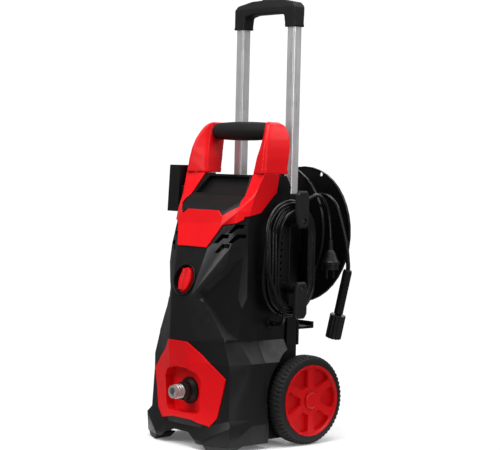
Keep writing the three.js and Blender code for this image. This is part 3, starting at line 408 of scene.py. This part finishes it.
def make_mains_lead():
    start = [Vector(p) for p in MAINS_START_PATH]
    tail = [Vector(p) for p in MAINS_TAIL_PATH]
    joined = smooth_route(start + winding()[2:-1:3] + tail, 3.5)
    points = [at(*point) for point in joined]
    lead = cord_piece("mains_lead", points, MAINS_D, "cable_rubber")
    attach(lead, "body")
    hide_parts("mains_coil", "mains_start", "mains_tail")
    return lead, length_of(points)


def reel_place():
    turn = Matrix.Rotation(math.radians(-90 - REEL_TILT), 4, "X")
    return Matrix.Translation(Vector((0, REEL_Y, REEL_Z))) @ turn


def wound_hose():
    """The hose in layers on the drum, ending at the top of the outermost layer."""
    near, far = -REEL_WIDTH + 8.5, -11
    points = []
    total = sum(turns for _, turns in HOSE_LAYERS)
    done = 0.0
    steps_a_turn = 40
    for index, (radius, turns) in enumerate(HOSE_LAYERS):
        count = round(turns * steps_a_turn)
        last = index == len(HOSE_LAYERS) - 1
        for i in range(count + (1 if last else 0)):
            share = i / count
            angle = -math.pi / 2 - math.tau * (total - done - turns * share)
            reach = far if not last else HOSE_END_ALONG
            along = near + (reach - near) * share if index % 2 == 0 else far + (near - far) * share
            climb = max(0.0, share - 0.94) / 0.06 * (LAYER_STEP if not last else 0)
            r = radius + climb
            points.append(Vector((r * math.cos(angle), r * math.sin(angle), along)))
        done += turns
    return points


def make_hose():
    place = reel_place()
    coil_points = [at(*(place @ point)) for point in wound_hose()]
    coil = cord_piece("wound_hose", coil_points, HOSE_D, "hose_rubber")
    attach(coil, "reel")
    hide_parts("hose_coil")

    route = [Vector(p) for p in HOSE_TAIL_PATH]
    leaving = place @ Vector((0, -HOSE_LAYERS[-1][0], HOSE_END_ALONG))
    tail_points = [at(*point) for point in smooth_route([leaving, *route], 4)]
    tail = cord_piece("hose_free_end", tail_points, HOSE_D, "hose_rubber")
    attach(tail, "body")
    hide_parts("hose_tail")
    return coil, coil_points, tail, tail_points


mains_lead, mains_length = make_mains_lead()
hose_coil, coil_points, hose_tail, tail_points = make_hose()


# ---- refined copies of CAD nodes ---------------------------------------------------------------
def finish_piece(piece, nodes, slot=None):
    """Body, material and CAD nodes of a new piece that stands for the given nodes."""
    slot = slot or SLOT_OF[nodes[0]]
    if not piece.data.materials:
        piece.data.materials.append(MATERIALS[slot])
    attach(piece, BODY_OF[nodes[0]])
    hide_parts(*nodes)
    return piece


def rounded(piece, radius, segments=2, degrees=24, flat=True):
    bevel = piece.modifiers.new("rounded", "BEVEL")
    bevel.width = radius * MM
    bevel.segments = segments
    bevel.limit_method = "ANGLE"
    bevel.angle_limit = math.radians(degrees)
    bevel.miter_outer = "MITER_ARC"
    if flat:
        weighted = piece.modifiers.new("weighted", "WEIGHTED_NORMAL")
        weighted.keep_sharp = False
    return piece


def softened(node, radius, segments=2, degrees=24):
    """A copy of a CAD node with clean flat faces and rounded edges."""
    mesh = frame["nodes"][node].data.copy()
    mesh.materials.clear()
    mesh.attributes.active = None
    shape = bmesh.new()
    shape.from_mesh(mesh)
    bmesh.ops.remove_doubles(shape, verts=shape.verts, dist=0.00002)
    if node not in HOLED:
        bmesh.ops.dissolve_limit(
            shape, angle_limit=math.radians(1.5), verts=shape.verts, edges=shape.edges
        )
    shape.to_mesh(mesh)
    shape.free()
    mesh.name = f"{node}_shape"
    mesh.shade_smooth()
    flowing = node in FLOWING
    if flowing:
        mesh.set_sharp_from_angle(angle=math.radians(degrees))
    piece = link(f"{node}_softened", mesh)
    finish_piece(piece, [node])
    return rounded(piece, radius, segments, degrees, not flowing)


def with_pocket(mesh, node, clearance, travel):
    """The mesh with a pocket cut for a node that is pressed down into it, sizes in mm."""
    low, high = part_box(node)
    low = low - Vector((clearance, clearance, clearance + travel)) * MM
    high = high + Vector((clearance, clearance, travel)) * MM
    space = bpy.data.meshes.new("pocket_space")
    shape = bmesh.new()
    bmesh.ops.create_cube(shape, size=1)
    for vert in shape.verts:
        vert.co = Vector([high[i] if vert.co[i] > 0 else low[i] for i in range(3)])
    shape.to_mesh(space)
    shape.free()
    cutter = link("pocket_cutter", space)
    uncut = link("uncut_piece", mesh)
    cut = uncut.modifiers.new("pocket", "BOOLEAN")
    cut.operation = "DIFFERENCE"
    cut.object = cutter
    graph = bpy.context.evaluated_depsgraph_get()
    result = bpy.data.meshes.new_from_object(uncut.evaluated_get(graph))
    bpy.data.objects.remove(uncut)
    bpy.data.objects.remove(cutter)
    return result


def soft_copy(node, voxel, passes, held_below=0.0, pressed_node=None):
    """A CAD node rebuilt in small even faces, its edges melted round above a height in mm."""
    rough = link(f"{node}_rough", frame["nodes"][node].data.copy())
    remesh = rough.modifiers.new("even", "REMESH")
    remesh.mode = "VOXEL"
    remesh.voxel_size = voxel * MM
    graph = bpy.context.evaluated_depsgraph_get()
    mesh = bpy.data.meshes.new_from_object(rough.evaluated_get(graph))
    bpy.data.objects.remove(rough)
    shape = bmesh.new()
    shape.from_mesh(mesh)
    free = [vert for vert in shape.verts if vert.co.z > held_below * MM]
    for _ in range(passes):
        bmesh.ops.smooth_vert(
            shape, verts=free, factor=0.5, use_axis_x=True, use_axis_y=True, use_axis_z=True
        )
    shape.to_mesh(mesh)
    shape.free()
    if pressed_node:
        mesh = with_pocket(mesh, pressed_node, clearance=0.4, travel=3)
    mesh.materials.clear()
    mesh.name = f"{node}_shape"
    mesh.shade_smooth()
    mesh.set_sharp_from_angle(angle=math.radians(40))
    return finish_piece(link(f"{node}_softened", mesh), [node])


FLOWING = {"front_shell", "outlet_panel", "red_yoke"}  # shading flows over their shallow bends
HOLED = {"rear_shell", "hub_left", "hub_right"}  # flat faces with holes keep their triangles
SOFTENING = {
    "front_shell": 2.2,
    "rear_shell": 2.0,
    "base_plate": 1.0,
    "knob_bezel": 0.8,
    "gun_holder": 1.5,
    "rear_ledge": 1.0,
    "guide_sleeve_left": 0.5,
    "guide_sleeve_right": 0.5,
    "reel_bracket": 1.0,
    "top_tray": 0.8,
    "red_yoke": 0.9,
    "outlet_panel": 1.2,
    "carry_handle_grip": 1.2,
    "crank_knob": 0.25,
    "foot_left": 1.5,
    "foot_right": 1.5,
    "knob": 1.2,
    "outlet_collar": 1.0,
    "outlet_connector": 0.3,
    "release_button": 0.8,
    "reel_flange_front": 0.6,
    "reel_flange_rear": 0.6,
    "crank_arm": 0.25,
    "cord_hook_upper": 1.2,
    "cord_hook_lower": 1.2,
    "hook_screw_upper": 0.3,
    "hook_screw_lower": 0.3,
    "hose_sleeve": 0.6,
    "hose_nut": 0.6,
    "mains_gland": 0.5,
    "mains_plug": 0.6,
    "inlet_connector": 0.4,
    "hub_cap_left": 0.5,
    "hub_cap_right": 0.5,
}
pieces = {node: softened(node, radius) for node, radius in SOFTENING.items()}
pieces["carry_handle_frame"] = soft_copy("carry_handle_frame", 1.9, 16, held_below=553)
pieces["telescopic_grip"] = soft_copy(
    "telescopic_grip", 1.5, 9, held_below=847, pressed_node="release_button"
)


# ---- wheels ------------------------------------------------------------------------------------
def lathe_rings(name, rings):
    """A closed mesh from rings of points, the last ring joined to the first."""
    count = len(rings[0])
    verts = [at(*point) for ring in rings for point in ring]
    faces = []
    for level in range(len(rings)):
        above = (level + 1) % len(rings)
        for i in range(count):
            j = (i + 1) % count
            faces.append(
                (level * count + i, level * count + j, above * count + j, above * count + i)
            )
    mesh = bpy.data.meshes.new(name)
    mesh.from_pydata(verts, [], faces)
    shape = bmesh.new()
    shape.from_mesh(mesh)
    bmesh.ops.recalc_face_normals(shape, faces=shape.faces)
    shape.to_mesh(mesh)
    shape.free()
    mesh.shade_smooth()
    mesh.set_sharp_from_angle(angle=math.radians(38))
    return mesh


def make_tyre(side, sign):
    """A solid rubber tyre with a plain middle band and short cross grooves at both edges."""
    inner, edge = HUB_FACE_X - TYRE_WIDTH, HUB_FACE_X - 2
    shoulder = [
        (0, HUB_R + 0.3),
        (0.2, 79),
        (0.8, 83.5),
        (2.6, 87),
        (5, 88.8),
        (9, 89.7),
        (14, WHEEL_R),
    ]
    profile = [(inner + x, r) for x, r in shoulder]
    profile += [(edge - x, r) for x, r in reversed(shoulder)]
    grooved = {3: 2.6, 4: 3.2, 5: 3.0, 8: 3.0, 9: 3.2, 10: 2.6}  # depth by place in the profile
    lugs = 58
    rings = []
    for index, (x, radius) in enumerate(profile):
        ring = []
        for step in range(lugs * 5):
            phase = (step + (2 if index > 7 else 0)) % 5
            sunk = grooved.get(index, 0) if phase in (0, 1) else 0
            angle = math.tau * step / (lugs * 5)
            r = radius - sunk
            ring.append((sign * x, r * math.cos(angle), WHEEL_R + r * math.sin(angle)))
        rings.append(ring)
    mesh = lathe_rings(f"tyre_{side}_shape", rings)
    return finish_piece(link(f"tyre_{side}_treaded", mesh), [f"tyre_{side}"])


for side, sign in (("left", -1), ("right", 1)):
    pieces[f"tyre_{side}"] = make_tyre(side, sign)
    pieces[f"hub_{side}"] = softened(f"hub_{side}", 1.2, 3)


# ---- materials on the CAD nodes that stay --------------------------------------------------------
for node, thing in frame["nodes"].items():
    material = MATERIALS[SLOT_OF[node]]
    if thing.material_slots:
        for slot in thing.material_slots:
            slot.material = material
    else:
        thing.data.materials.append(material)


# ---- floor, light and background ---------------------------------------------------------------------
def make_floor():
    mesh = bpy.data.meshes.new("floor")
    size = 0.3
    around = [math.tau * i / 64 for i in range(64)]
    rim = [(size * math.cos(angle), size * math.sin(angle), 0) for angle in around]
    mesh.from_pydata(rim, [], [tuple(range(64))])
    material, tree, shader = new_material("floor", (0.93, 0.93, 0.93), 0.7, specular=0.2)
    shader.inputs["Emission Color"].default_value = (1, 1, 1, 1)
    shader.inputs["Emission Strength"].default_value = 0.1
    tree.links.new(
        tint(tree, noise(tree, 3), (0.92, 0.92, 0.92), (0.94, 0.94, 0.94)),
        shader.inputs["Base Color"],
    )
    mesh.materials.append(material)
    link("floor", mesh)


def softbox(name, place, target, size, power):
    light = bpy.data.lights.new(name, "AREA")
    light.shape = "RECTANGLE"
    light.size, light.size_y = size
    light.energy = power
    box = link(name, light)
    box.location = place
    direction = Vector(target) - Vector(place)
    box.rotation_mode = "QUATERNION"
    box.rotation_quaternion = direction.to_track_quat("-Z", "Y")


def make_world():
    world = bpy.data.worlds.new("studio")
    world.use_nodes = True
    tree = world.node_tree
    background = tree.nodes["Background"]
    background.inputs["Color"].default_value = (1, 1, 1, 1)
    paths = tree.nodes.new("ShaderNodeLightPath")
    level = tree.nodes.new("ShaderNodeMapRange")
    level.inputs["To Min"].default_value = 0.2
    level.inputs["To Max"].default_value = 1.05
    tree.links.new(paths.outputs["Is Camera Ray"], level.inputs["Value"])
    tree.links.new(level.outputs["Result"], background.inputs["Strength"])
    bpy.context.scene.world = world


make_floor()
make_world()
softbox("key", (-0.6, -3.2, 2.6), (0, 0, 0.45), (1.6, 2.2), 74)
softbox("side", (3.4, -0.2, 1.6), (0, 0, 0.45), (1.2, 2.4), 34)
softbox("top", (0.4, -0.4, 3.6), (0, 0, 0.3), (2.6, 2.6), 125)
softbox("back", (-1.8, 2.8, 2.2), (0, 0, 0.5), (1.6, 1.6), 24)
softbox("rim", (1.4, 2.2, 2.5), (0, 0, 0.3), (1.8, 1.8), 30)
bpy.context.scene.view_settings.view_transform = "Standard"
